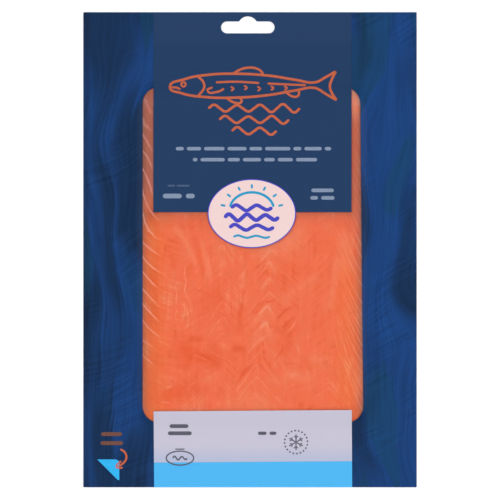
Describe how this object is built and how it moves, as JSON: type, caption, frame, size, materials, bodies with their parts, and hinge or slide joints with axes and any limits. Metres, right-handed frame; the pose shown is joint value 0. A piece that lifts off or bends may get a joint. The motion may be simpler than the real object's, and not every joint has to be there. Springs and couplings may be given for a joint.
{
  "type": "vacuum pack of smoked salmon",
  "caption": "Flat vacuum pack of long smoked salmon slices, with a printed front, a clear window, labels and a hang slot.",
  "frame": {"origin": "middle of the pack's underside, on the surface that it lies on", "axes": "+Z out of the front of the pack, +Y along the pack to its hang slot, +X to the right as the front is read"},
  "size_m": [0.2, 0.285, 0.0095],
  "materials": {
    "back_web": "satin",
    "printed_web": "glossy printed film",
    "clear_film": "clear glossy film",
    "salmon": "moist, soft flesh",
    "navy_label": "satin print",
    "pink_label": "satin print",
    "lavender_label": "satin print",
    "cyan_label": "glossy print"
  },
  "bodies": {
    "root": {"back_web": "back_web", "front_web": "printed_web", "window_film": "clear_film", "salmon_slices": "salmon", "title_label": "navy_label", "badge": "pink_label", "date_label": "lavender_label", "foot_band": "cyan_label"}
  },
  "joints": []
}
